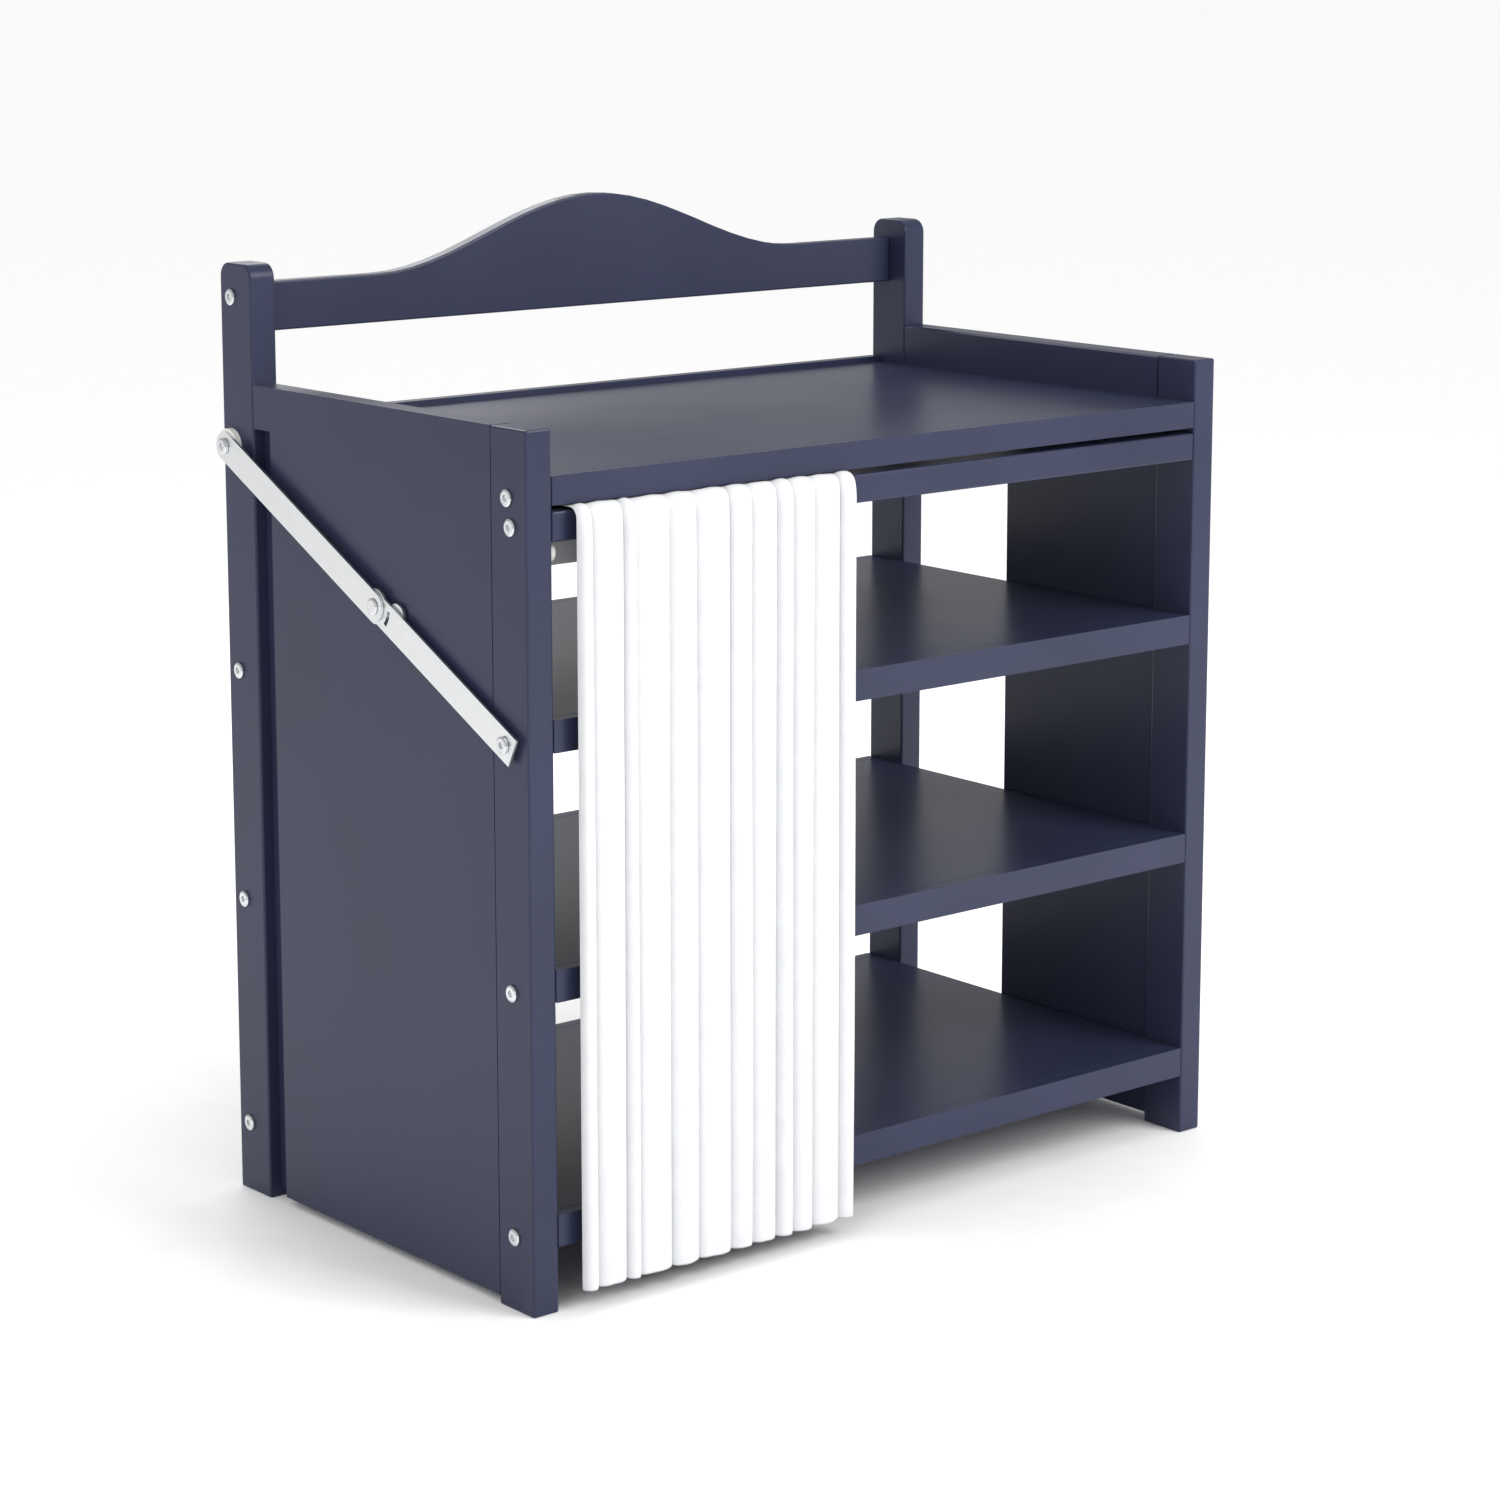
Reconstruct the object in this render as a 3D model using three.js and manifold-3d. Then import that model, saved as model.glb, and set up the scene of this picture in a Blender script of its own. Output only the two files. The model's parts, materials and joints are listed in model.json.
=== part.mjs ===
// A changing table: four posts carry a changing top, three open shelves, a shaped backboard and two side walls.
// A white curtain slides along the front rail, and a jointed steel stay braces each side from outside.
// Millimetres, +Z up. The origin is on the floor, at the centre of the whole footprint. -X is left, -Y is front.
import * as THREE from "three";
import { mergeVertices } from "three/addons/utils/BufferGeometryUtils.js";
import { RoundedBoxGeometry } from "three/addons/geometries/RoundedBoxGeometry.js";
import Module from "manifold-3d";

const wasm = await Module();
wasm.setup();

// Driving dimensions.
const WIDTH = 926;
const DEPTH = 520;
const POST_WIDTH = 30;
const POST_DEPTH = 56;
const SIDE_RAIL_HEIGHT = 45;
const REAR_POST_RISE = 167;
const REAR_POST_CORNER = 15;
const EDGE = 2;
const FIT_GAP = 0.4;

const TOP_SURFACE = 819;
const TOP_LIP = 28;
const SHELF_PITCH = 244;
const LOWER_SHELF_SURFACE = 98;
const SHELF_LIP = 32;
const LIP_WIDTH = 14;
const LEDGE_WIDTH = 30;
const BOARD_THICKNESS = 14;
const REAR_STOP = 6;

const PANEL_THICKNESS = 25;
const PANEL_INSET = 0.5;
const PANEL_FLOOR_GAP = 9;
const REBATE_WIDTH = 30;
const REBATE_DEPTH = 13;
const RIGHT_PANEL_LENGTH = 237;

const FRONT_RAIL_HEIGHT = 29;
const FRONT_RAIL_DEPTH = 36;
const FRONT_RAIL_DROP = 6;

const BACKBOARD_THICKNESS = 18;
const BACKBOARD_INSET = 12;
const BACKBOARD_LIFT = 95;
const BACKBOARD_SHOULDER = 51;
const BACKBOARD_RISE = 71;
const BACKBOARD_BELL = 291;
const BELL_STEPS = 24;

const BOLT_RADIUS = 3;
const BOLT_CLEARANCE = 0.4;
const BOLT_HEAD_RADIUS = 8.5;
const BOLT_HEAD_HEIGHT = 3.4;
const BOLT_GRIP = 22;
const BOLT_SOCKET = 2;
const BOLT_SOCKET_RADIUS = 3.4;
const FRONT_BOLT_INSET = 29;
const REAR_BOLT_INSET = 21;
const RAIL_BOLT_INSET = 24;
const BACKBOARD_BOLT_DROP = 14;

const STAY_WIDTH = 30;
const STAY_THICKNESS = 2.5;
const STAY_STANDOFF = 5;
const STAY_LAP_GAP = 0.4;
const STAY_TOP_INSET = 17;
const STAY_KNUCKLE_SHARE = 0.557;
const STAY_TAIL = 15;
const STAY_KNUCKLE_RADIUS = 18;
const STAY_DISC_RADIUS = 18;
const STAY_SPACER_RADIUS = 9;
const STAY_FOOT_HOLE = 11;
const STAY_SLOT_NEAR = 20.5;
const STAY_SLOT_FAR = 25;
const STAY_SLOT_HALF_ANGLE = Math.PI / 9;
const STAY_BOSS_RADIUS = 13;
const STAY_BOSS_ALONG = 31;
const STAY_BOSS_ASIDE = 8;
const STAY_BOSS_THICKNESS = 3;
const RIVET_HEAD_RADIUS = 8.5;
const RIVET_HEAD_HEIGHT = 1.6;
const RIVET_INNER_HEAD = 1;

const CURTAIN_LEFT = 20;
const CURTAIN_WIDTH = 348;
const CURTAIN_PROUD = 22;
const CURTAIN_DEPTH = 18;
const CURTAIN_HEM = 20;
const CURTAIN_THICKNESS = 2.4;
const CURTAIN_BACK_DROP = 64;
const CURTAIN_SHOULDER = 16;

const BUTTON_RADIUS = 11;
const BUTTON_LENGTH = 14;
const BUTTON_INSET = 20;
const BUTTON_BELOW_RAIL = 12;

// Places worked out from the dimensions.
const FRONT_POST_HEIGHT = TOP_SURFACE + SIDE_RAIL_HEIGHT;
const SIDE_RAIL_BOTTOM = TOP_SURFACE - TOP_LIP;
const REAR_POST_HEIGHT = TOP_SURFACE + REAR_POST_RISE;
const BACKBOARD_BOTTOM = TOP_SURFACE + BACKBOARD_LIFT;
const LEFT = -WIDTH / 2;
const DISC_OVERHANG = STAY_DISC_RADIUS - STAY_TOP_INSET;
const FRONT = (CURTAIN_PROUD - DEPTH - DISC_OVERHANG) / 2;
const REAR = FRONT + DEPTH;
const INNER = WIDTH / 2 - POST_WIDTH;
const RAIL_TOP = TOP_SURFACE - TOP_LIP - FRONT_RAIL_DROP;
const RAIL_BOTTOM = RAIL_TOP - FRONT_RAIL_HEIGHT;
const FRONT_POST_BACK = FRONT + POST_DEPTH;
const REAR_POST_FRONT = REAR - POST_DEPTH;
const BACKBOARD_MIDDLE = REAR - BACKBOARD_INSET - BACKBOARD_THICKNESS / 2;
const SHELVES = { lower: 0, middle: 1, upper: 2 };
const shelfSurface = (level) => LOWER_SHELF_SURFACE + level * SHELF_PITCH;
const ledgeMiddle = (surface, lip) => surface - (lip + BOARD_THICKNESS) / 2;

const PAINTED_WOOD = new THREE.MeshStandardMaterial({ color: 0x3a3c50, roughness: 0.42, metalness: 0 });
const ZINC = new THREE.MeshStandardMaterial({ color: 0xc9cbcc, roughness: 0.3, metalness: 1 });
const NYLON = new THREE.MeshStandardMaterial({ color: 0xe4e4e0, roughness: 0.5, metalness: 0 });
const CLOTH = new THREE.MeshStandardMaterial({ color: 0xf4f4f2, roughness: 0.9, metalness: 0 });

const table = new THREE.Group();

function place(name, geometry, material, parent = table) {
  const mesh = new THREE.Mesh(geometry, material);
  mesh.name = name;
  parent.add(mesh);
  return mesh;
}

// Booleans.
function toSolid(geometry) {
  const bare = geometry.clone();
  bare.deleteAttribute("normal");
  bare.deleteAttribute("uv");
  const merged = mergeVertices(bare, 1e-4);
  return new wasm.Manifold(
    new wasm.Mesh({
      numProp: 3,
      vertProperties: new Float32Array(merged.attributes.position.array),
      triVerts: new Uint32Array(merged.index.array),
    }),
  );
}

function toGeometry(solid) {
  const { vertProperties, triVerts } = solid.getMesh();
  return new THREE.BufferGeometry()
    .setAttribute("position", new THREE.BufferAttribute(vertProperties, 3))
    .setIndex(new THREE.BufferAttribute(triVerts, 1));
}

function cut(geometry, tools) {
  return toGeometry(tools.reduce((solid, tool) => solid.subtract(toSolid(tool)), toSolid(geometry)));
}

// Shapes.
function block(x0, x1, y0, y1, z0, z1, edge = EDGE) {
  const [w, d, h] = [x1 - x0, y1 - y0, z1 - z0];
  const box = edge ? new RoundedBoxGeometry(w, d, h, 1, edge) : new THREE.BoxGeometry(w, d, h);
  return box.translate((x0 + x1) / 2, (y0 + y1) / 2, (z0 + z1) / 2);
}

// An outline in Y and Z, run along X from x0 to x1, with its edges eased by a bevel.
function alongX(outline, x0, x1, edge = 0) {
  const length = x1 - x0 - 2 * edge;
  const options = { depth: length, curveSegments: 6, steps: 1, bevelEnabled: edge > 0 };
  Object.assign(options, { bevelSize: edge, bevelThickness: edge, bevelOffset: -edge, bevelSegments: 2 });
  const basis = new THREE.Matrix4().set(0, 0, 1, x0 + edge, 1, 0, 0, 0, 0, 1, 0, 0, 0, 0, 0, 1);
  return new THREE.ExtrudeGeometry(outline, options).applyMatrix4(basis);
}

// An outline in X and Z, run forwards from y1 to y0.
function alongY(outline, y0, y1, edge = 0) {
  const length = y1 - y0 - 2 * edge;
  const options = { depth: length, curveSegments: 6, steps: 1, bevelEnabled: edge > 0 };
  Object.assign(options, { bevelSize: edge, bevelThickness: edge, bevelOffset: -edge, bevelSegments: 2 });
  const basis = new THREE.Matrix4().set(1, 0, 0, 0, 0, 0, -1, y1 - edge, 0, 1, 0, 0, 0, 0, 0, 1);
  return new THREE.ExtrudeGeometry(outline, options).applyMatrix4(basis);
}

function polygon(points) {
  return new THREE.Shape(points.map(([a, b]) => new THREE.Vector2(a, b)));
}

// A hole of that radius along X.
function drill(x0, x1, y, z, radius = BOLT_RADIUS + BOLT_CLEARANCE) {
  const hole = new THREE.CylinderGeometry(radius, radius, x1 - x0, 12);
  return hole.rotateZ(Math.PI / 2).translate((x0 + x1) / 2, y, z);
}

// A turned piece: the profile's radii and distances run outwards from the left side, or from the right for side 1.
function turned(profile, side, x, y, z, segments = 12) {
  const points = profile.map(([radius, out]) => new THREE.Vector2(radius, out));
  return new THREE.LatheGeometry(points, segments)
    .rotateZ(side < 0 ? Math.PI / 2 : -Math.PI / 2)
    .translate(x, y, z);
}

// The bolts that go through each side's posts, by what they hold: [place from the front, height].
const topBolt = ledgeMiddle(TOP_SURFACE, TOP_LIP);
const frontBolts = {
  top: [FRONT + FRONT_BOLT_INSET, topBolt],
  rail: [FRONT + RAIL_BOLT_INSET, (RAIL_TOP + RAIL_BOTTOM) / 2],
};
const backboardBolt = BACKBOARD_BOTTOM + BACKBOARD_SHOULDER - BACKBOARD_BOLT_DROP;
const rearBolts = { backboard: [BACKBOARD_MIDDLE, backboardBolt] };
for (const [name, level] of Object.entries(SHELVES)) {
  const height = ledgeMiddle(shelfSurface(level), SHELF_LIP);
  frontBolts[name] = [FRONT + FRONT_BOLT_INSET, height];
  rearBolts[name] = [REAR - REAR_BOLT_INSET, height];
}
const stayTop = [REAR - STAY_TOP_INSET, topBolt];
const stayFoot = frontBolts.upper;

// Posts.
function rearPostOutline() {
  const r = REAR_POST_CORNER;
  const shape = new THREE.Shape();
  shape.moveTo(REAR_POST_FRONT, 0);
  shape.lineTo(REAR, 0);
  shape.lineTo(REAR, REAR_POST_HEIGHT - r);
  shape.absarc(REAR - r, REAR_POST_HEIGHT - r, r, 0, Math.PI / 2);
  shape.lineTo(REAR_POST_FRONT + r, REAR_POST_HEIGHT);
  shape.absarc(REAR_POST_FRONT + r, REAR_POST_HEIGHT - r, r, Math.PI / 2, Math.PI);
  return shape;
}

function posts(side, word) {
  const [x0, x1] = side < 0 ? [LEFT, LEFT + POST_WIDTH] : [INNER, INNER + POST_WIDTH];
  const through = ([y, z]) => drill(x0 - 1, x1 + 1, y, z);
  const foot = side < 0 ? [x0 - 1, x0 + STAY_FOOT_HOLE] : [x1 - STAY_FOOT_HOLE, x1 + 1];
  const { upper, ...plainFront } = frontBolts;
  const front = block(x0, x1, FRONT, FRONT_POST_BACK, 0, FRONT_POST_HEIGHT);
  const frontHoles = [...Object.values(plainFront).map(through), drill(...foot, ...upper)];
  place(`front_${word}_post`, cut(front, frontHoles), PAINTED_WOOD);
  const rear = alongX(rearPostOutline(), x0, x1, EDGE);
  place(`rear_${word}_post`, cut(rear, [...Object.values(rearBolts), stayTop].map(through)), PAINTED_WOOD);
}

// Rails whose ends take a bolt from each side.
function boltedRail(name, geometry, [y, z]) {
  const end = INNER - FIT_GAP;
  const reach = BOLT_GRIP + 2;
  const holes = [drill(-end - 1, -end + reach, y, z), drill(end - reach, end + 1, y, z)];
  place(name, cut(geometry, holes), PAINTED_WOOD);
}

// A lip with a ledge behind it that carries the board: toward is 1 at the front and -1 at the rear.
function ledgeRail(name, face, toward, surface, lip, bolt, stop = 0) {
  const at = (distance) => face + toward * distance;
  const ledge = surface - BOARD_THICKNESS - FIT_GAP;
  const outline = [
    [at(0), surface - lip],
    [at(LIP_WIDTH + LEDGE_WIDTH), surface - lip],
    [at(LIP_WIDTH + LEDGE_WIDTH), ledge],
    [at(LIP_WIDTH), ledge],
    [at(LIP_WIDTH), surface + stop],
    [at(0), surface + stop],
  ];
  const end = INNER - FIT_GAP;
  boltedRail(name, alongX(polygon(toward > 0 ? outline : outline.reverse()), -end, end, EDGE / 2), bolt);
}

function tier(name, surface, lip, frontBolt, rearBolt, stop) {
  ledgeRail(`${name}_front_rail`, FRONT, 1, surface, lip, frontBolt);
  ledgeRail(`${name}_rear_rail`, REAR, -1, surface, lip, rearBolt, stop);
  const inset = LIP_WIDTH + FIT_GAP;
  const end = INNER - FIT_GAP;
  const board = block(-end, end, FRONT + inset, REAR - inset, surface - BOARD_THICKNESS, surface, EDGE / 4);
  place(`${name}_board`, board, PAINTED_WOOD);
}

// The right side has a rail that covers the top's end, and a shorter panel below it.
function sideRail(side, word) {
  const outer = WIDTH / 2 - PANEL_INSET;
  const inner = WIDTH / 2 - POST_WIDTH;
  const top = FRONT_POST_HEIGHT;
  const outline = polygon([
    [side * inner, SIDE_RAIL_BOTTOM],
    [side * outer, SIDE_RAIL_BOTTOM],
    [side * outer, top - EDGE],
    [side * (outer - EDGE), top],
    [side * (inner + EDGE), top],
    [side * inner, top - EDGE],
  ]);
  const rail = alongY(outline, FRONT_POST_BACK + FIT_GAP, REAR_POST_FRONT - FIT_GAP);
  place(`${word}_side_rail`, rail, PAINTED_WOOD);
}

// A side panel, up to that height. The left one runs the whole depth, with a rebate along its rear edge below the top.
function sidePanel(side, word, length, height, rebate) {
  const outer = side * (WIDTH / 2 - PANEL_INSET);
  const inner = side * (WIDTH / 2 - PANEL_THICKNESS);
  const front = FRONT_POST_BACK + FIT_GAP;
  const [x0, x1] = [Math.min(outer, inner), Math.max(outer, inner)];
  const panel = block(x0, x1, front, front + length, PANEL_FLOOR_GAP, height, 0);
  const step = outer - side * REBATE_DEPTH;
  const tool = [Math.min(step, outer + side), Math.max(step, outer + side)];
  const end = front + length;
  const cutter = block(...tool, end - REBATE_WIDTH, end + 1, 0, TOP_SURFACE, 0);
  place(`${word}_side_panel`, rebate ? cut(panel, [cutter]) : panel, PAINTED_WOOD);
}

// The backboard's top edge rises from level shoulders to a soft crest in the middle.
function backboard() {
  const end = INNER - FIT_GAP;
  const shoulder = BACKBOARD_BOTTOM + BACKBOARD_SHOULDER;
  const outline = [
    [-end, BACKBOARD_BOTTOM],
    [end, BACKBOARD_BOTTOM],
    [end, shoulder],
  ];
  for (let i = 0; i <= BELL_STEPS; i++) {
    const x = BACKBOARD_BELL * (1 - (2 * i) / BELL_STEPS);
    const lift = (BACKBOARD_RISE * (1 + Math.cos((Math.PI * x) / BACKBOARD_BELL))) / 2;
    outline.push([x, shoulder + lift]);
  }
  outline.push([-end, shoulder]);
  const half = BACKBOARD_THICKNESS / 2;
  const plate = alongY(polygon(outline), BACKBOARD_MIDDLE - half, BACKBOARD_MIDDLE + half, EDGE);
  boltedRail("backboard", plate, rearBolts.backboard);
}

// Bolts: a domed head with a socket, standing on the post's outer face or on a stay.
function bolt(name, side, [y, z], length, standoff = 0, parent = table) {
  const s = BOLT_HEAD_HEIGHT + standoff;
  const seat = standoff + (standoff ? 0 : FIT_GAP / 2);
  const profile = [
    [0, -length],
    [BOLT_RADIUS, -length],
    [BOLT_RADIUS, seat],
    [BOLT_HEAD_RADIUS, seat],
    [BOLT_HEAD_RADIUS, s - 1],
    [BOLT_HEAD_RADIUS - 1.8, s],
    [BOLT_SOCKET_RADIUS, s],
    [BOLT_SOCKET_RADIUS - 0.5, s - BOLT_SOCKET],
    [0, s - BOLT_SOCKET],
  ];
  place(name, turned(profile, side, (side * WIDTH) / 2, y, z), ZINC, parent);
}

function bolts(side, word) {
  const length = POST_WIDTH + BOLT_GRIP;
  const { upper, ...plainFront } = frontBolts;
  for (const [what, at] of Object.entries(plainFront)) bolt(`${word}_front_bolt_${what}`, side, at, length);
  for (const [what, at] of Object.entries(rearBolts)) bolt(`${word}_rear_bolt_${what}`, side, at, length);
}

// A flat ring standing off the post's outer face.
function ring(name, side, [y, z], hole, radius, near, far, material) {
  const profile = [
    [hole, near],
    [radius, near],
    [radius, far - 0.5],
    [radius - 0.5, far],
    [hole, far],
    [hole, near],
  ];
  place(name, turned(profile, side, (side * WIDTH) / 2, y, z, 24), material);
}

// A stay: the upper arm lies outside the lower arm, and a rivet joins them at the knuckle.
const stayRise = stayTop[1] - stayFoot[1];
const stayRun = stayTop[0] - stayFoot[0];
const stayLength = Math.hypot(stayRise, stayRun);
const stayAngle = Math.atan2(stayRise, stayRun);
const upperLength = stayLength * STAY_KNUCKLE_SHARE;
const lowerLength = stayLength - upperLength;
const lowerLayer = STAY_STANDOFF;
const upperLayer = lowerLayer + STAY_THICKNESS + STAY_LAP_GAP;

// An arm's outline runs forwards from its first pivot: rounded there, and square or rounded at its far end.
function armOutline(length, headRadius, tail, roundTail) {
  const half = STAY_WIDTH / 2;
  const neck = Math.sqrt(Math.max(headRadius ** 2 - half ** 2, 0));
  const turn = Math.atan2(half, neck);
  const shape = new THREE.Shape();
  shape.absarc(0, 0, headRadius, -Math.PI + turn, Math.PI - turn);
  const end = -length - tail;
  if (roundTail) {
    shape.absarc(end + half, 0, half, Math.PI / 2, 1.5 * Math.PI);
  } else {
    shape.lineTo(end, half);
    shape.lineTo(end, -half);
  }
  return shape;
}

// A crescent about the arm's first pivot, on the side where the arm runs.
function crescent(near, far, half) {
  const shape = new THREE.Shape();
  shape.absarc(0, 0, far, Math.PI - half, Math.PI + half);
  shape.absarc(0, 0, near, Math.PI + half, Math.PI - half, true);
  return shape;
}

function stay(side, word) {
  const outside = (layer) => {
    const near = (side * WIDTH) / 2 + side * layer;
    const far = near + side * STAY_THICKNESS;
    return [Math.min(near, far), Math.max(near, far)];
  };
  const x = (side * WIDTH) / 2;
  const hole = BOLT_RADIUS + BOLT_CLEARANCE + 0.2;
  const arm = (outline, layer, pivots, slots = []) => {
    const [x0, x1] = outside(layer);
    const holes = pivots.map((along) => drill(x0 - 1, x1 + 1, -along, 0, hole));
    const slotCuts = slots.map((slot) => alongX(slot, x0 - 1, x1 + 1));
    return cut(alongX(outline, x0, x1), [...holes, ...slotCuts]);
  };
  const brace = new THREE.Group();
  brace.position.set(0, stayTop[0], stayTop[1]);
  brace.rotation.x = stayAngle;
  table.add(brace);
  const upper = arm(armOutline(upperLength, STAY_WIDTH / 2, STAY_WIDTH / 2, true), upperLayer, [0, upperLength]);
  place(`${word}_stay_upper_arm`, upper, ZINC, brace);
  const knuckle = new THREE.Group();
  knuckle.position.y = -upperLength;
  brace.add(knuckle);
  const lowerShape = armOutline(lowerLength, STAY_KNUCKLE_RADIUS, STAY_TAIL, false);
  const slot = crescent(STAY_SLOT_NEAR, STAY_SLOT_FAR, STAY_SLOT_HALF_ANGLE);
  place(`${word}_stay_lower_arm`, arm(lowerShape, lowerLayer, [0, lowerLength], [slot]), ZINC, knuckle);

  const inner = lowerLayer - STAY_LAP_GAP;
  const outer = upperLayer + STAY_THICKNESS + STAY_LAP_GAP;
  const rivet = [
    [0, inner - RIVET_INNER_HEAD],
    [RIVET_HEAD_RADIUS - 1, inner - RIVET_INNER_HEAD],
    [RIVET_HEAD_RADIUS - 1, inner],
    [BOLT_RADIUS, inner],
    [BOLT_RADIUS, outer],
    [RIVET_HEAD_RADIUS, outer],
    [RIVET_HEAD_RADIUS, outer + RIVET_HEAD_HEIGHT / 2],
    [RIVET_HEAD_RADIUS - 2, outer + RIVET_HEAD_HEIGHT],
    [0, outer + RIVET_HEAD_HEIGHT],
  ];
  place(`${word}_stay_rivet`, turned(rivet, side, x, 0, 0), ZINC, knuckle);
  const bossFar = lowerLayer - STAY_LAP_GAP;
  const boss = [
    [0, bossFar - STAY_BOSS_THICKNESS],
    [STAY_BOSS_RADIUS, bossFar - STAY_BOSS_THICKNESS],
    [STAY_BOSS_RADIUS, bossFar],
    [0, bossFar],
  ];
  place(`${word}_stay_boss`, turned(boss, side, x, -STAY_BOSS_ALONG, STAY_BOSS_ASIDE, 24), ZINC, knuckle);

  const discHole = BOLT_RADIUS + BOLT_CLEARANCE;
  const discFar = upperLayer - STAY_LAP_GAP;
  ring(`${word}_stay_disc`, side, stayTop, discHole, STAY_DISC_RADIUS, FIT_GAP, discFar, NYLON);
  bolt(`${word}_stay_top_bolt`, side, stayTop, POST_WIDTH + BOLT_GRIP, outer);
  const footFar = lowerLayer - STAY_LAP_GAP;
  ring(`${word}_stay_spacer`, side, stayFoot, discHole, STAY_SPACER_RADIUS, FIT_GAP, footFar, NYLON);
  bolt(`${word}_stay_foot_bolt`, side, stayFoot, -FIT_GAP, lowerLayer + STAY_THICKNESS + STAY_LAP_GAP);
}

// The curtain: a plain solid of its outer shape, hooked over the front rail.
function curtain() {
  const face = FRONT - CURTAIN_PROUD;
  const back = face + CURTAIN_DEPTH;
  const gap = (TOP_SURFACE - TOP_LIP - RAIL_TOP - CURTAIN_THICKNESS) / 2;
  const under = RAIL_TOP + gap;
  const over = under + CURTAIN_THICKNESS;
  const behind = FRONT + FRONT_RAIL_DEPTH + 1.6;
  const tail = over - CURTAIN_BACK_DROP;
  const shape = new THREE.Shape();
  shape.moveTo(face, CURTAIN_HEM);
  shape.lineTo(back, CURTAIN_HEM);
  shape.lineTo(back, under - 4);
  shape.lineTo(back + 2, under);
  shape.lineTo(behind, under);
  shape.lineTo(behind, tail);
  shape.lineTo(behind + CURTAIN_THICKNESS, tail);
  shape.lineTo(behind + CURTAIN_THICKNESS, over);
  shape.lineTo(face + CURTAIN_SHOULDER, over);
  shape.absarc(face + CURTAIN_SHOULDER, over - CURTAIN_SHOULDER, CURTAIN_SHOULDER, Math.PI / 2, Math.PI);
  const left = -INNER + CURTAIN_LEFT;
  place("curtain", alongX(shape, left, left + CURTAIN_WIDTH), CLOTH);
}

// The round button on the left post that the curtain's edge is held back on.
function button() {
  const profile = [
    [0, 0],
    [BUTTON_RADIUS - 3, 0],
    [BUTTON_RADIUS, BUTTON_LENGTH * 0.45],
    [BUTTON_RADIUS - 1, BUTTON_LENGTH * 0.8],
    [BUTTON_RADIUS - 5, BUTTON_LENGTH],
    [0, BUTTON_LENGTH],
  ];
  const x = -INNER + FIT_GAP;
  const z = RAIL_BOTTOM - BUTTON_BELOW_RAIL;
  place("curtain_button", turned(profile, 1, x, FRONT + BUTTON_INSET, z, 20), NYLON);
}

for (const [side, word] of [
  [-1, "left"],
  [1, "right"],
]) {
  posts(side, word);
  bolts(side, word);
  stay(side, word);
}
const bay = REAR_POST_FRONT - FRONT_POST_BACK - 2 * FIT_GAP;
sidePanel(-1, "left", bay, FRONT_POST_HEIGHT, true);
sidePanel(1, "right", RIGHT_PANEL_LENGTH, SIDE_RAIL_BOTTOM - FIT_GAP, false);
sideRail(1, "right");
tier("top", TOP_SURFACE, TOP_LIP, frontBolts.top, stayTop, REAR_STOP);
for (const [name, level] of Object.entries(SHELVES)) {
  tier(`${name}_shelf`, shelfSurface(level), SHELF_LIP, frontBolts[name], rearBolts[name], 0);
}
const railEnd = INNER - FIT_GAP;
const rail = block(-railEnd, railEnd, FRONT, FRONT + FRONT_RAIL_DEPTH, RAIL_BOTTOM, RAIL_TOP);
boltedRail("front_rail", rail, frontBolts.rail);
backboard();
curtain();
button();

export default table;
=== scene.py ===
"""A painted changing table with a gathered cotton curtain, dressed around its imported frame."""

import json
import math
import random

import bpy
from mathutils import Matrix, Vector


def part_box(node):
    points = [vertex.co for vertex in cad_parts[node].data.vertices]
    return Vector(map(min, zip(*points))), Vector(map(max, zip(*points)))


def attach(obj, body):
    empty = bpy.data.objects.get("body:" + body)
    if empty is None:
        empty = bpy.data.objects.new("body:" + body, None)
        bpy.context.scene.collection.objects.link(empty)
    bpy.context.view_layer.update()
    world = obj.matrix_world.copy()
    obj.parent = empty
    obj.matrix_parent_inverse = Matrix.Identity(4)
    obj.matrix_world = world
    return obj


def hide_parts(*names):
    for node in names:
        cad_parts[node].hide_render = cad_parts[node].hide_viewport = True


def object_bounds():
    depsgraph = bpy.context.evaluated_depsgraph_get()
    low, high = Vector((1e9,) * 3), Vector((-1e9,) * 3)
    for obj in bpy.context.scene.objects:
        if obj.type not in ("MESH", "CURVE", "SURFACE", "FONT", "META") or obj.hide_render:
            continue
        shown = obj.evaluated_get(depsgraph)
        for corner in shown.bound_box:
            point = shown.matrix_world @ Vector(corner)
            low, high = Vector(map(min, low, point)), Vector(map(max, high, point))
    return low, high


bl_info = {
    "name": "Changing table",
    "version": (1, 0, 0),
    "blender": (4, 5, 0),
    "location": "3D View > Sidebar > Changing table",
    "description": "Paints the table, gathers its curtain and lights it on a white floor",
    "category": "Add Mesh",
}

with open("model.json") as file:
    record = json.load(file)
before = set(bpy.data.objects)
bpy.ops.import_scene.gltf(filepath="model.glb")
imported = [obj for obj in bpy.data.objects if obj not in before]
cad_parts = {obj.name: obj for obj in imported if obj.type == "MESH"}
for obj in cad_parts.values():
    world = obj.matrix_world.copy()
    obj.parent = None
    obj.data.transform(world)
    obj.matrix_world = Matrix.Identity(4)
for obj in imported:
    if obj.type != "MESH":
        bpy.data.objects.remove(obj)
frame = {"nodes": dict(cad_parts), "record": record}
CAD_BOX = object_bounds()

MM = 0.001

# The pleats' shares of the curtain's width, from the left.
PLEAT_SHARES = (0.6, 1.35, 0.55, 1.5, 1.2, 1.5, 1.0, 1.15, 0.75, 1.0, 1.25, 0.7)
BROAD_SHARE = 1.1

# How pleats differ: how full they are, how deep their creases, and where their waves start, in radians.
FULLNESS = (0.82, 1.0)
CREASES = (0.5, 1.0)
FURTHEST_PHASE = 6

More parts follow.
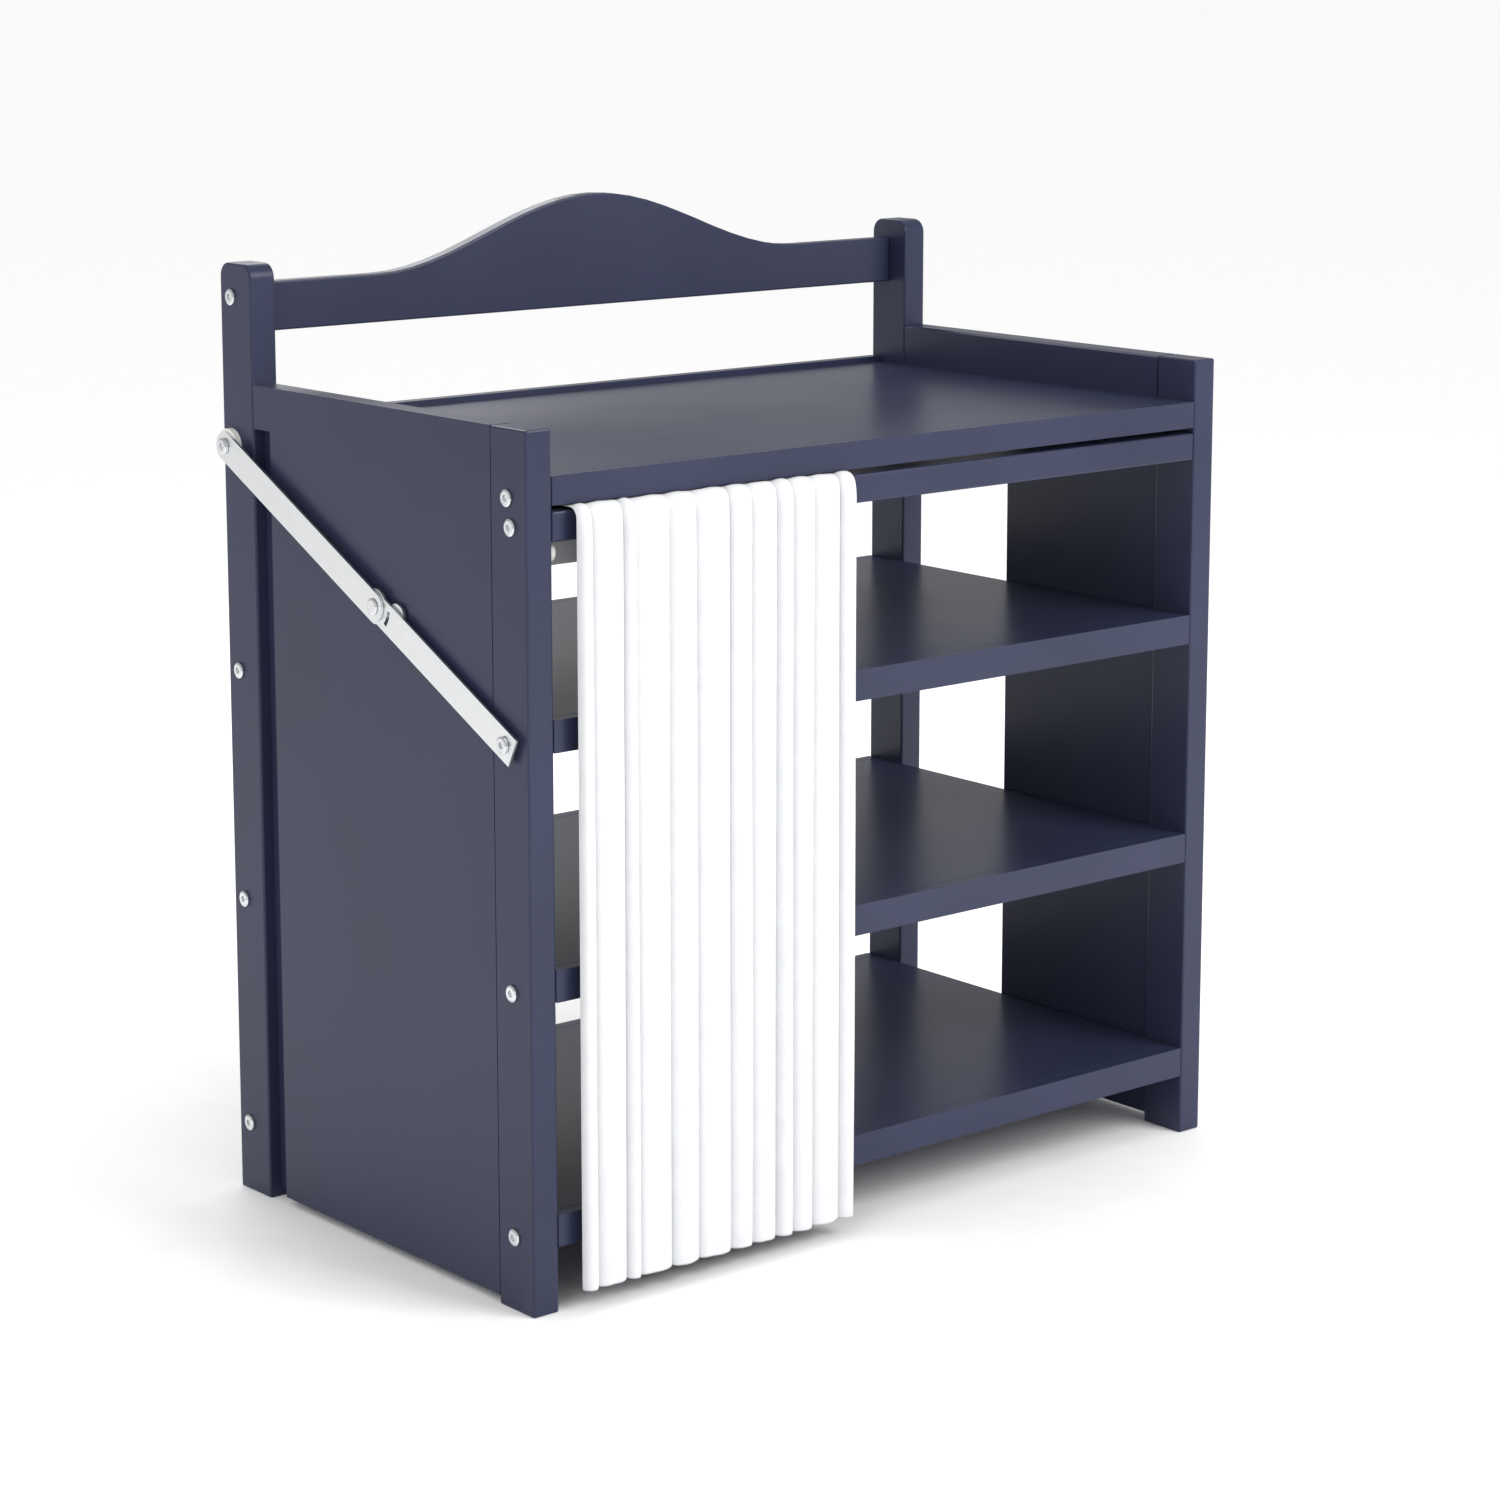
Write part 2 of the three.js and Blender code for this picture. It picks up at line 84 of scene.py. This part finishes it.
# How fast a pleat's groove, sway, crease and depth vary down the fall, in radians a metre.
NECK_WAVE = 3
SWAY_WAVE = 5
CREASE_WAVE = 4
RIPPLE_WAVE = 11

# The share of a groove's narrowness that drifts, and the shares of a pleat that its crease takes.
NECK_DRIFT = 0.2
CREASE_WIDTH = 0.09
CREASE_LEAN = 0.16
CREASE_WANDER = 0.05

# How far the cloth stays under its box's top, and the corner it rounds behind the rail.
TOP_CLEARANCE = 0.4 * MM
CORNER_DROP = 3 * MM
CORNER_RUN = 2 * MM

# Mesh steps: up the fall behind the rail, over the rail, and round its front edge.
BACK_STEPS = 8
OVER_STEPS = 6
BEND_STEPS = 8

# Edges that turn by more than this are eased, in this many steps.
EASED_ANGLE = math.radians(35)
EASED_STEPS = 2

# The soft boxes' places and width, in metres, about the table.
KEY_PLACE = (1.3, -3.3, 2.6)
FILL_PLACE = (-3.0, -1.4, 2.6)
REAR_PLACE = (0.8, 3.0, 2.8)
BOX_SIZE = 2.2

# The floor runs past the horizon, and its painted glow grows between two distances from the table's middle.
FLOOR_REACH = 120
PAINTED_GLOW_START = 0.42
PAINTED_GLOW_WHOLE = 0.95
PAINTED_GLOW_STRENGTH = 0.19


# ---------------------------------------------------------------- colours and nodes


def linear(value):
    """An sRGB hex colour, such as #3a3c4e, as linear red, green, blue and alpha."""
    parts = [int(value[i : i + 2], 16) / 255 for i in (1, 3, 5)]
    return [c / 12.92 if c <= 0.04045 else ((c + 0.055) / 1.055) ** 2.4 for c in parts] + [1.0]


def add(tree, kind, settings=None, **links):
    """Adds a node. Its settings are properties or socket values, and its links join inputs to nodes."""
    node = tree.nodes.new(kind)
    for key, value in (settings or {}).items():
        if key in node.inputs:
            node.inputs[key].default_value = value
        else:
            setattr(node, key, value)
    inputs = {socket.name.replace(" ", "_").lower(): socket for socket in reversed(node.inputs)}
    for key, source in links.items():
        tree.links.new(getattr(source, "outputs", [source])[0], inputs[key])
    return node


def material(name, settings):
    """An empty material with one Principled shader, and its tree."""
    made = bpy.data.materials.new(name)
    made.use_nodes = True
    tree = made.node_tree
    tree.nodes.clear()
    shader = add(tree, "ShaderNodeBsdfPrincipled", settings)
    add(tree, "ShaderNodeOutputMaterial", surface=shader)
    return made, tree, shader


# ---------------------------------------------------------------- materials


def sprayed_alkyd_paint(colour):
    """Satin alkyd paint sprayed on beech: a soft highlight, a faint orange peel and hardly any grain."""
    shade = bpy.context.scene.table_paint
    settings = {"Roughness": shade.roughness, "IOR": 1.5, "Specular IOR Level": 0.26}
    made, tree, shader = material("sprayed_satin_alkyd_paint", settings)
    point = add(tree, "ShaderNodeTexCoord").outputs["Object"]
    # Orange peel on a sprayed satin film has dimples about 1.5 mm apart.
    peel = add(tree, "ShaderNodeTexNoise", {"Scale": 1 / (1.5 * MM), "Detail": 2.0}, vector=point)
    # Beech pores run along the board: 0.8 mm across and some 10 mm long, softened by the film.
    along = add(tree, "ShaderNodeMapping", {"Scale": (1, 12, 12)}, vector=point)
    grain = add(tree, "ShaderNodeTexNoise", {"Scale": 1 / (10 * MM), "Detail": 4.0}, vector=along)
    # The film's thickness drifts over about 200 mm, which shifts the colour and the gloss a little.
    drift = add(tree, "ShaderNodeTexNoise", {"Scale": 1 / (200 * MM), "Detail": 3.0}, vector=point)
    thin = add(tree, "ShaderNodeMapRange", {"From Min": 0.3, "From Max": 0.75}, value=drift)
    hues = {"Color1": linear(colour), "Color2": linear(shade.highlight)}
    tone = add(tree, "ShaderNodeMixRGB", hues, fac=thin)
    tree.links.new(tone.outputs[0], shader.inputs["Base Color"])
    satin = {"To Min": shade.roughness - 0.05, "To Max": shade.roughness + 0.07}
    gloss = add(tree, "ShaderNodeMapRange", satin, value=drift)
    tree.links.new(gloss.outputs[0], shader.inputs["Roughness"])
    peeled = add(tree, "ShaderNodeBump", {"Strength": 0.05, "Distance": 0.1 * MM}, height=peel)
    pores = {"Strength": 0.04, "Distance": 0.1 * MM}
    bump = add(tree, "ShaderNodeBump", pores, height=grain, normal=peeled)
    tree.links.new(bump.outputs[0], shader.inputs["Normal"])
    return made


def zinc_plated_steel(name, colour, roughness):
    """Zinc plate on pressed or turned steel: a pale metal whose sheen breaks up along its rolling."""
    made, tree, shader = material(name, {"Metallic": 1.0, "Roughness": roughness})
    point = add(tree, "ShaderNodeTexCoord").outputs["Object"]
    # Rolling lines are about 0.2 mm apart, drawn at 0.6 mm so that they show, and long along Y.
    rolled = add(tree, "ShaderNodeMapping", {"Scale": (1, 0.15, 1)}, vector=point)
    lines = add(tree, "ShaderNodeTexNoise", {"Scale": 1 / (0.6 * MM), "Detail": 3.0}, vector=rolled)
    # The plate clouds in patches of about 12 mm.
    cloud = add(tree, "ShaderNodeTexNoise", {"Scale": 1 / (12 * MM)}, vector=point)
    patch = add(tree, "ShaderNodeMapRange", {"From Min": 0.2, "From Max": 0.9}, value=cloud)
    hues = {"Color1": linear(colour), "Color2": linear("#e3e4e6")}
    tone = add(tree, "ShaderNodeMixRGB", hues, fac=patch)
    tree.links.new(tone.outputs[0], shader.inputs["Base Color"])
    sheen = {"To Min": roughness - 0.06, "To Max": roughness + 0.1}
    broken = add(tree, "ShaderNodeMapRange", sheen, value=lines)
    tree.links.new(broken.outputs[0], shader.inputs["Roughness"])
    bump = add(tree, "ShaderNodeBump", {"Strength": 0.08, "Distance": 0.05 * MM}, height=lines)
    tree.links.new(bump.outputs[0], shader.inputs["Normal"])
    return made


def moulded_nylon(colour):
    """Natural nylon, injection moulded: milky white with a fine spark-eroded grain and a soft edge glow."""
    settings = {"Roughness": 0.42, "IOR": 1.53, "Subsurface Weight": 0.1, "Subsurface Scale": 2 * MM}
    made, tree, shader = material("moulded_nylon", settings)
    point = add(tree, "ShaderNodeTexCoord").outputs["Object"]
    # Spark-eroded grain is about 0.3 mm.
    grain = add(tree, "ShaderNodeTexNoise", {"Scale": 1 / (0.3 * MM), "Detail": 1.0}, vector=point)
    milky = add(tree, "ShaderNodeMapRange", {"From Min": 0.3, "From Max": 0.8}, value=grain)
    hues = {"Color1": linear(colour), "Color2": linear("#f6f5f1")}
    tone = add(tree, "ShaderNodeMixRGB", hues, fac=milky)
    tree.links.new(tone.outputs[0], shader.inputs["Base Color"])
    bump = add(tree, "ShaderNodeBump", {"Strength": 0.1, "Distance": 0.05 * MM}, height=grain)
    tree.links.new(bump.outputs[0], shader.inputs["Normal"])
    return made


def plain_woven_cotton(colour):
    """Bleached cotton sheeting, plain woven: matt, with a slight bloom at grazing angles."""
    settings = {"Roughness": 0.85, "Sheen Weight": 0.25, "Sheen Roughness": 0.5}
    made, tree, shader = material("plain_woven_bleached_cotton", settings)
    place = add(tree, "ShaderNodeUVMap")
    # Threads lie 0.4 mm apart, drawn at 1.2 mm so that they show. The UV map is in metres of cloth,
    # and a wave texture at a scale of 1 repeats every 2 pi / 20.
    thread = 1.2 * MM
    woven = add(tree, "ShaderNodeMath", {"operation": "MULTIPLY"})
    for direction, side in (("X", 0), ("Y", 1)):
        wave = {"bands_direction": direction, "Scale": 2 * math.pi / (20 * thread)}
        band = add(tree, "ShaderNodeTexWave", wave, vector=place)
        tree.links.new(band.outputs[1], woven.inputs[side])
    # Yarn thickness varies in slubs of about 25 mm.
    slub = add(tree, "ShaderNodeTexNoise", {"Scale": 1 / (25 * MM), "Detail": 4.0}, vector=place)
    thick = add(tree, "ShaderNodeMapRange", {"From Min": 0.25, "From Max": 0.75}, value=slub)
    hues = {"Color1": linear(colour), "Color2": linear("#dddee0")}
    tone = add(tree, "ShaderNodeMixRGB", hues, fac=thick)
    tree.links.new(tone.outputs[0], shader.inputs["Base Color"])
    crossing = add(tree, "ShaderNodeBump", {"Strength": 0.12, "Distance": 0.15 * MM}, height=woven)
    soft = {"Strength": 0.1, "Distance": 0.6 * MM}
    bump = add(tree, "ShaderNodeBump", soft, height=slub, normal=crossing)
    tree.links.new(bump.outputs[0], shader.inputs["Normal"])
    return made


def studio_paper():
    """Seamless white paper: matt, faintly mottled, with a painted glow round the table and a painted shadow
    under it.
    """
    settings = {"Roughness": 0.9, "Emission Color": (1, 1, 1, 1)}
    made, tree, shader = material("seamless_white_paper", settings)
    point = add(tree, "ShaderNodeTexCoord").outputs["Object"]
    mottle = add(tree, "ShaderNodeTexNoise", {"Scale": 1 / (60 * MM)}, vector=point)
    uneven = add(tree, "ShaderNodeMapRange", {"From Min": 0.3, "From Max": 0.7}, value=mottle)
    hues = {"Color1": linear("#fbfbfb"), "Color2": linear("#ffffff")}
    tone = add(tree, "ShaderNodeMixRGB", hues, fac=uneven)
    tree.links.new(tone.outputs[0], shader.inputs["Base Color"])
    # Painted light: the floor glows from under the table's rim and is whole a little way past its feet;
    # under the table it stays darker as a painted shadow.
    reach = {"From Min": PAINTED_GLOW_START, "From Max": PAINTED_GLOW_WHOLE, "To Max": PAINTED_GLOW_STRENGTH}
    away = add(tree, "ShaderNodeVectorMath", {"operation": "LENGTH"}, vector=point).outputs["Value"]
    glow = add(tree, "ShaderNodeMapRange", reach, value=away)
    tree.links.new(glow.outputs[0], shader.inputs["Emission Strength"])
    return made


# ---------------------------------------------------------------- shared making


def nodes_in(slot):
    """The frame's nodes that take that material slot."""
    named = [part["node"] for part in frame["record"]["subparts"] if part["material_slot"] == slot]
    return [frame["nodes"][name] for name in named]


def dress(piece, finish, width):
    """Gives a frame node its finish, and rounds its edges."""
    piece.data.materials.clear()
    piece.data.materials.append(finish)
    rounding = piece.modifiers.new("eased edges", "BEVEL")
    rounding.width = width
    rounding.segments = EASED_STEPS
    rounding.limit_method = "ANGLE"
    rounding.angle_limit = EASED_ANGLE


def distance(a, b):
    return (Vector(a) - Vector(b)).length


# ---------------------------------------------------------------- the curtain


class CurtainShape:
    """The curtain's gathered cloth, as rows of points from the fall behind the rail to the hem."""

    def __init__(self, settings):
        self.rng = random.Random(settings.seed)
        low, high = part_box("curtain")
        rail_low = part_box("front_rail")[0]
        self.settings = settings
        half = settings.cloth / 2
        self.left, self.right = low.x + half, high.x - half
        self.hem = low.z
        self.top = high.z - half - TOP_CLEARANCE
        self.behind = high.y - half
        self.face = rail_low.y - settings.clearance
        self.depth = self.face - low.y - half
        self.tail = self.top - settings.back_fall
        self.rail_front = rail_low.y
        self.folds = self.widths()

    def widths(self):
        """Each pleat's left edge, width, fullness, lean, phase and crease."""
        total = sum(PLEAT_SHARES)
        edges, at = [], self.left
        for share in PLEAT_SHARES:
            width = (self.right - self.left) * share / total
            fullness = self.rng.uniform(*FULLNESS)
            crease = self.rng.uniform(*CREASES) if share > BROAD_SHARE else 0.0
            lean = self.rng.uniform(-1, 1)
            phase = self.rng.uniform(0, FURTHEST_PHASE)
            edges.append((at, width, fullness, lean, phase, crease))
            at += width
        return edges

    def spine(self):
        """Points along the cloth: (y, z, y normal, z normal, pleat fullness, distance below the top)."""
        s = self.settings
        points = []
        for i in range(BACK_STEPS):
            z = self.tail + (self.top - CORNER_DROP - self.tail) * i / BACK_STEPS
            points.append((self.behind, z, 1, 0, 0.0, 0))
        start = self.behind - CORNER_RUN
        for i in range(OVER_STEPS + 1):
            y = start + (self.rail_front - start) * i / OVER_STEPS
            points.append((y, self.top, 0, 1, 0.0, 0))
        bend = self.rail_front - self.face
        for i in range(1, BEND_STEPS + 1):
            turn = math.pi / 2 * i / BEND_STEPS
            y = self.rail_front - bend * math.sin(turn)
            z = self.top - bend * (1 - math.cos(turn))
            full = math.sqrt(1 - (1 - i / BEND_STEPS * s.shoulder_start) ** 2)
            points.append((y, z, -math.sin(turn), math.cos(turn), full, self.top - z))
        bent = points[-1][1]
        full_start = points[-1][4]
        for i in range(1, s.rows + 1):
            t = (i / s.rows) ** s.row_bias
            z = bent + (self.hem - bent) * t
            below = bent - z
            k = min(1, below / s.shoulder)
            full = full_start + (1 - full_start) * math.sqrt(1 - (1 - k) ** 2)
            points.append((self.face, z, -1, 0, full, self.top - z))
        return points

    def across(self, fold, part, below):
        """(x, outward share) of one pleat, at a share of its width and a distance below the top."""
        left, width, fullness, lean, phase, crease = self.folds[fold]
        s = self.settings
        swell = 0.5 - 0.5 * math.cos(2 * math.pi * part)
        neck = s.neck * (1 - NECK_DRIFT + NECK_DRIFT * math.sin(phase + below * NECK_WAVE))
        x = left + width * (part - neck * math.sin(2 * math.pi * part))
        x += s.sway * lean * math.sin(phase + below * SWAY_WAVE) * math.sin(math.pi * part) ** 2
        # A broad pleat has a soft crease that wanders about its middle as it falls.
        middle = 0.5 + CREASE_LEAN * lean + CREASE_WANDER * math.sin(phase + below * CREASE_WAVE)
        dent = s.crease * crease * math.exp(-(((part - middle) / CREASE_WIDTH) ** 2))
        ripple = min(1 + s.ripple * math.sin(phase * 2 + below * RIPPLE_WAVE), 1.0)
        return x, (swell**s.roundness - dent) * fullness * ripple

    def grid(self):
        """Rows of points from the back fall to the hem."""
        s = self.settings
        rows = []
        for y, z, ny, nz, full, below in self.spine():
            row = []
            for fold in range(len(self.folds)):
                last = fold == len(self.folds) - 1
                for step in range(s.steps + (1 if last else 0)):
                    x, deep = self.across(fold, step / s.steps, below)
                    out = deep * full * self.depth
                    if ny == 1:
                        out = -deep * s.slack_depth
                    x = min(max(x, self.left), self.right)
                    row.append((x, y + ny * out, z + nz * out))
            rows.append(row)
        return rows


def cloth_mesh(name, rows):
    """A mesh of a grid of points, with a UV map in metres along the cloth."""
    count = len(rows[0])
    verts = [point for row in rows for point in row]
    faces = []
    for i in range(len(rows) - 1):
        for j in range(count - 1):
            a = i * count + j
            faces.append((a, a + 1, a + count + 1, a + count))
    mesh = bpy.data.meshes.new(name)
    mesh.from_pydata(verts, [], faces)
    middle = rows[len(rows) // 2]
    column = [row[count // 2] for row in rows]
    along = [0.0]
    for a, b in zip(middle, middle[1:]):
        along.append(along[-1] + distance(a, b))
    down = [0.0]
    for a, b in zip(column, column[1:]):
        down.append(down[-1] + distance(a, b))
    layer = mesh.uv_layers.new(name="UVMap")
    for polygon in mesh.polygons:
        for loop in polygon.loop_indices:
            index = mesh.loops[loop].vertex_index
            layer.data[loop].uv = (along[index % count], down[index // count])
    for polygon in mesh.polygons:
        polygon.use_smooth = True
    return mesh, along[-1], down[-1]


# ---------------------------------------------------------------- settings


class PaintSettings(bpy.types.PropertyGroup):
    colour: bpy.props.StringProperty(
        name="Paint", description="The paint's sRGB colour", default="#2b2f45"
    )
    highlight: bpy.props.StringProperty(
        name="Thin paint", description="The paint's colour where the film is thin", default="#30344d"
    )
    roughness: bpy.props.FloatProperty(
        name="Roughness", description="How matt the paint is", default=0.3, min=0, max=1, subtype="FACTOR"
    )
    edge: bpy.props.FloatProperty(
        name="Edge", description="The rounding of each board's edges", default=0.8 * MM, unit="LENGTH"
    )


class MetalSettings(bpy.types.PropertyGroup):
    steel: bpy.props.StringProperty(
        name="Stay steel", description="The stays' sRGB colour", default="#dcdedf"
    )
    bolt: bpy.props.StringProperty(
        name="Bolt steel", description="The bolts' sRGB colour", default="#d4d6d8"
    )
    nylon: bpy.props.StringProperty(name="Nylon", description="The discs' sRGB colour", default="#e6e5e0")
    edge: bpy.props.FloatProperty(
        name="Edge",
        description="The rounding of each small part's edges",
        default=0.25 * MM,
        unit="LENGTH",
    )


class CurtainSettings(bpy.types.PropertyGroup):
    colour: bpy.props.StringProperty(
        name="Cotton", description="The cloth's sRGB colour", default="#d6d7d9"
    )
    seed: bpy.props.IntProperty(name="Seed", description="Sets how the gathers fall", default=11)
    steps: bpy.props.IntProperty(
        name="Steps", description="Mesh steps across each pleat", default=22, min=6
    )
    rows: bpy.props.IntProperty(name="Rows", description="Mesh rows down the fall", default=64, min=8)
    row_bias: bpy.props.FloatProperty(
        name="Row bias", description="Crowds the rows towards the top", default=1.35
    )
    cloth: bpy.props.FloatProperty(
        name="Cloth", description="The cloth's thickness", default=1.0 * MM, unit="LENGTH"
    )
    clearance: bpy.props.FloatProperty(
        name="Clearance",
        description="From the rail's face to the grooves",
        default=11 * MM,
        unit="LENGTH",
    )
    back_fall: bpy.props.FloatProperty(
        name="Back fall",
        description="How far the cloth hangs behind the rail",
        default=62 * MM,
        unit="LENGTH",
    )
    shoulder: bpy.props.FloatProperty(
        name="Shoulder",
        description="How soon the pleats reach full depth",
        default=26 * MM,
        unit="LENGTH",
    )
    shoulder_start: bpy.props.FloatProperty(
        name="Shoulder start", description="The share of the rounding at the bend", default=0.35
    )
    neck: bpy.props.FloatProperty(name="Neck", description="How narrow the grooves are", default=0.12)
    roundness: bpy.props.FloatProperty(
        name="Roundness", description="Under 1 makes broader pleats", default=0.58
    )
    sway: bpy.props.FloatProperty(
        name="Sway", description="How far a pleat wanders sideways", default=2.5 * MM, unit="LENGTH"
    )
    ripple: bpy.props.FloatProperty(
        name="Ripple", description="How much a pleat's depth varies", default=0.06
    )
    crease: bpy.props.FloatProperty(
        name="Crease", description="The depth of a broad pleat's crease", default=0.26
    )
    slack_depth: bpy.props.FloatProperty(
        name="Slack depth",
        description="The gathers' depth behind the rail",
        default=0.8 * MM,
        unit="LENGTH",
    )


class StageSettings(bpy.types.PropertyGroup):
    azimuth: bpy.props.FloatProperty(
        name="Azimuth",
        description="The camera's turn from the front",
        default=math.radians(40),
        unit="ROTATION",
    )
    pitch: bpy.props.FloatProperty(
        name="Pitch",
        description="How far the camera looks down",
        default=math.radians(10.1),
        unit="ROTATION",
    )
    away: bpy.props.FloatProperty(
        name="Distance", description="From the camera to the table", default=4.08, unit="LENGTH"
    )
    lens: bpy.props.FloatProperty(name="Lens", description="Focal length in millimetres", default=91.9)
    lift: bpy.props.FloatProperty(
        name="Lift", description="The aim above the table's middle", default=98 * MM, unit="LENGTH"
    )
    aside: bpy.props.FloatProperty(
        name="Aside", description="The aim to the right of the middle", default=18 * MM, unit="LENGTH"
    )
    rise: bpy.props.FloatProperty(name="Rise", description="The camera's vertical shift", default=-0.1)
    key: bpy.props.FloatProperty(name="Key", description="The main light's power in watts", default=110)
    fill: bpy.props.FloatProperty(name="Fill", description="The soft light's power in watts", default=24)
    rear: bpy.props.FloatProperty(name="Rear", description="The back light's power in watts", default=40)
    sky: bpy.props.FloatProperty(name="Sky", description="The white room's brightness", default=0.8)
    mirrored: bpy.props.FloatProperty(
        name="Mirrored sky", description="The room's brightness in gloss and metal", default=0.5
    )


# ---------------------------------------------------------------- operators


class TABLE_OT_paint(bpy.types.Operator):
    """Paint every wooden part"""

    bl_idname = "table.paint"
    bl_label = "Painted wood"

    def execute(self, context):
        settings = context.scene.table_paint
        finish = sprayed_alkyd_paint(settings.colour)
        for piece in nodes_in("painted_wood"):
            dress(piece, finish, settings.edge)
        return {"FINISHED"}


class TABLE_OT_metal(bpy.types.Operator):
    """Plate the stays, rivets and bolts"""

    bl_idname = "table.metal"
    bl_label = "Stays and bolts"

    def execute(self, context):
        settings = context.scene.table_metal
        strip = zinc_plated_steel("zinc_plated_pressed_steel", settings.steel, 0.34)
        turned = zinc_plated_steel("zinc_plated_turned_steel", settings.bolt, 0.26)
        for piece in nodes_in("zinc_plated_steel"):
            dress(piece, strip if piece.name.endswith("_arm") else turned, settings.edge)
        return {"FINISHED"}


class TABLE_OT_nylon(bpy.types.Operator):
    """Mould the discs, the spacers and the curtain's button"""

    bl_idname = "table.nylon"
    bl_label = "Discs and button"

    def execute(self, context):
        settings = context.scene.table_metal
        finish = moulded_nylon(settings.nylon)
        for piece in nodes_in("white_nylon"):
            dress(piece, finish, settings.edge)
        return {"FINISHED"}


class TABLE_OT_curtain(bpy.types.Operator):
    """Gather the curtain over the front rail"""

    bl_idname = "table.curtain"
    bl_label = "Curtain"

    def execute(self, context):
        settings = context.scene.table_curtain
        mesh, wide, long = cloth_mesh("gathered_curtain", CurtainShape(settings).grid())
        mesh.materials.append(plain_woven_cotton(settings.colour))
        piece = bpy.data.objects.new("gathered_curtain", mesh)
        context.scene.collection.objects.link(piece)
        thick = piece.modifiers.new("cloth thickness", "SOLIDIFY")
        thick.thickness = settings.cloth
        thick.offset = 0
        smooth = piece.modifiers.new("soft folds", "SUBSURF")
        smooth.levels = smooth.render_levels = 1
        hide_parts("curtain")
        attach(piece, "curtain")
        return {"FINISHED"}


class TABLE_OT_stage(bpy.types.Operator):
    """Set the white floor, the lights and the camera"""

    bl_idname = "table.stage"
    bl_label = "Stage"

    def execute(self, context):
        settings = context.scene.table_stage
        scene = context.scene
        reach = FLOOR_REACH
        corners = [(-reach, -reach, 0), (reach, -reach, 0), (reach, reach, 0), (-reach, reach, 0)]
        mesh = bpy.data.meshes.new("floor")
        mesh.from_pydata(corners, [], [(0, 1, 2, 3)])
        mesh.materials.append(studio_paper())
        floor = bpy.data.objects.new("floor", mesh)
        scene.collection.objects.link(floor)

        low, high = (Vector(corner) for corner in CAD_BOX)
        middle = (low + high) / 2
        aim = middle + Vector((settings.aside, 0, settings.lift))
        flat = math.cos(settings.pitch)
        turn = settings.azimuth
        ahead = Vector((math.sin(turn) * flat, math.cos(turn) * flat, -math.sin(settings.pitch)))
        camera = bpy.data.cameras.new("camera")
        camera.lens = settings.lens
        camera.shift_y = settings.rise
        camera.clip_end = 4 * FLOOR_REACH
        eye = bpy.data.objects.new("camera", camera)
        eye.location = aim - ahead * settings.away
        eye.rotation_euler = (math.pi / 2 - settings.pitch, 0, -turn)
        scene.collection.objects.link(eye)
        scene.camera = eye

        lamp("key", KEY_PLACE, middle, settings.key)
        lamp("fill", FILL_PLACE, middle, settings.fill)
        lamp("rear", REAR_PLACE, middle, settings.rear)
        world = bpy.data.worlds.new("white room")
        world.use_nodes = True
        tree = world.node_tree
        tree.nodes.clear()
        rays = add(tree, "ShaderNodeLightPath")
        room = add(tree, "ShaderNodeBackground", {"Color": (1, 1, 1, 1), "Strength": settings.sky})
        dim = add(tree, "ShaderNodeBackground", {"Color": (1, 1, 1, 1), "Strength": settings.mirrored})
        seen = add(tree, "ShaderNodeBackground", {"Color": (1, 1, 1, 1), "Strength": 1.0})
        lit = add(tree, "ShaderNodeMixShader", fac=rays.outputs["Is Glossy Ray"], shader=room)
        tree.links.new(dim.outputs[0], lit.inputs[2])
        whole = add(tree, "ShaderNodeMixShader", fac=rays.outputs["Is Camera Ray"], shader=lit)
        tree.links.new(seen.outputs[0], whole.inputs[2])
        add(tree, "ShaderNodeOutputWorld", surface=whole)
        scene.world = world
        scene.view_settings.view_transform = "Standard"
        return {"FINISHED"}


def lamp(name, place, target, power):
    """A square soft box that faces the table."""
    light = bpy.data.lights.new(name, "AREA")
    light.size = BOX_SIZE
    light.energy = power
    box = bpy.data.objects.new(name, light)
    box.location = place
    box.rotation_euler = (Vector(target) - Vector(place)).to_track_quat("-Z", "Y").to_euler()
    bpy.context.scene.collection.objects.link(box)


class TABLE_PT_panel(bpy.types.Panel):
    """Lists the table's settings and makers"""

    bl_idname = "TABLE_PT_panel"
    bl_label = "Changing table"
    bl_space_type = "VIEW_3D"
    bl_region_type = "UI"
    bl_category = "Changing table"

    def draw(self, context):
        for operator in OPERATORS:
            self.layout.operator(operator.bl_idname)
        for name, group in GROUPS.items():
            box = self.layout.box()
            for key in group.__annotations__:
                box.prop(getattr(context.scene, name), key)


GROUPS = {
    "table_paint": PaintSettings,
    "table_metal": MetalSettings,
    "table_curtain": CurtainSettings,
    "table_stage": StageSettings,
}
OPERATORS = (TABLE_OT_stage, TABLE_OT_paint, TABLE_OT_metal, TABLE_OT_nylon, TABLE_OT_curtain)
CLASSES = (*GROUPS.values(), *OPERATORS, TABLE_PT_panel)


def register():
    for one in CLASSES:
        bpy.utils.register_class(one)
    for name, group in GROUPS.items():
        setattr(bpy.types.Scene, name, bpy.props.PointerProperty(type=group))


def unregister():
    for name in GROUPS:
        delattr(bpy.types.Scene, name)
    for one in reversed(CLASSES):
        bpy.utils.unregister_class(one)


def main():
    register()
    bpy.ops.table.stage()
    bpy.ops.table.paint()
    bpy.ops.table.metal()
    bpy.ops.table.nylon()
    bpy.ops.table.curtain()
    bpy.context.view_layer.update()


if __name__ == "__main__":
    main()
